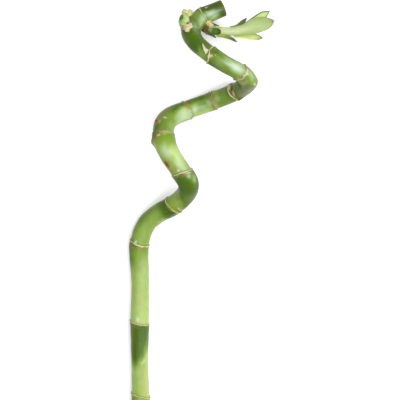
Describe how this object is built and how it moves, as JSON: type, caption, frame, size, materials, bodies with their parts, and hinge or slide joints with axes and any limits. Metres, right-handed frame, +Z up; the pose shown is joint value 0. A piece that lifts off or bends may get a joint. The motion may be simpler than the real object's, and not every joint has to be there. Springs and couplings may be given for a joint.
{
  "type": "curled lucky bamboo cane",
  "caption": "Curled green lucky bamboo cane with ringed joints, cut at both ends and laid on its back, with a leafy side shoot near its top.",
  "frame": {"origin": "centre of the part's box on the surface that it lies on", "axes": "+Z up from the surface, +Y along the cane from its foot to its top, +X towards the leafy side shoot"},
  "size_m": [0.1012, 0.2961, 0.0419],
  "materials": {
    "cane_skin": "waxy, semi-gloss, living green skin",
    "young_stem": "satin, pale green, tender",
    "young_leaf": "satin, pale yellow-green with grey-green rims",
    "dark_scale": "satin, dark green",
    "brown_scale": "matt, dry, brown to olive",
    "dry_sheath": "matt, dry, cream"
  },
  "bodies": {
    "root": {"cane": "cane_skin", "shoot_stem": "young_stem", "withered_shoot": "young_stem", "leaf_front": "young_leaf", "leaf_upper": "young_leaf", "leaf_lower": "young_leaf", "bract_top": "young_leaf", "bract_bottom": "young_leaf", "shoot_scale_front": "dark_scale", "withered_shoot_scale": "dark_scale", "shoot_scale_top": "brown_scale", "shoot_scale_low": "brown_scale", "shoot_scale_low_tip": "brown_scale", "withered_tip_left": "dry_sheath", "withered_tip_right": "dry_sheath", "sheath_scrap_bend": "dry_sheath", "sheath_scrap_tooth": "dry_sheath"}
  },
  "joints": []
}
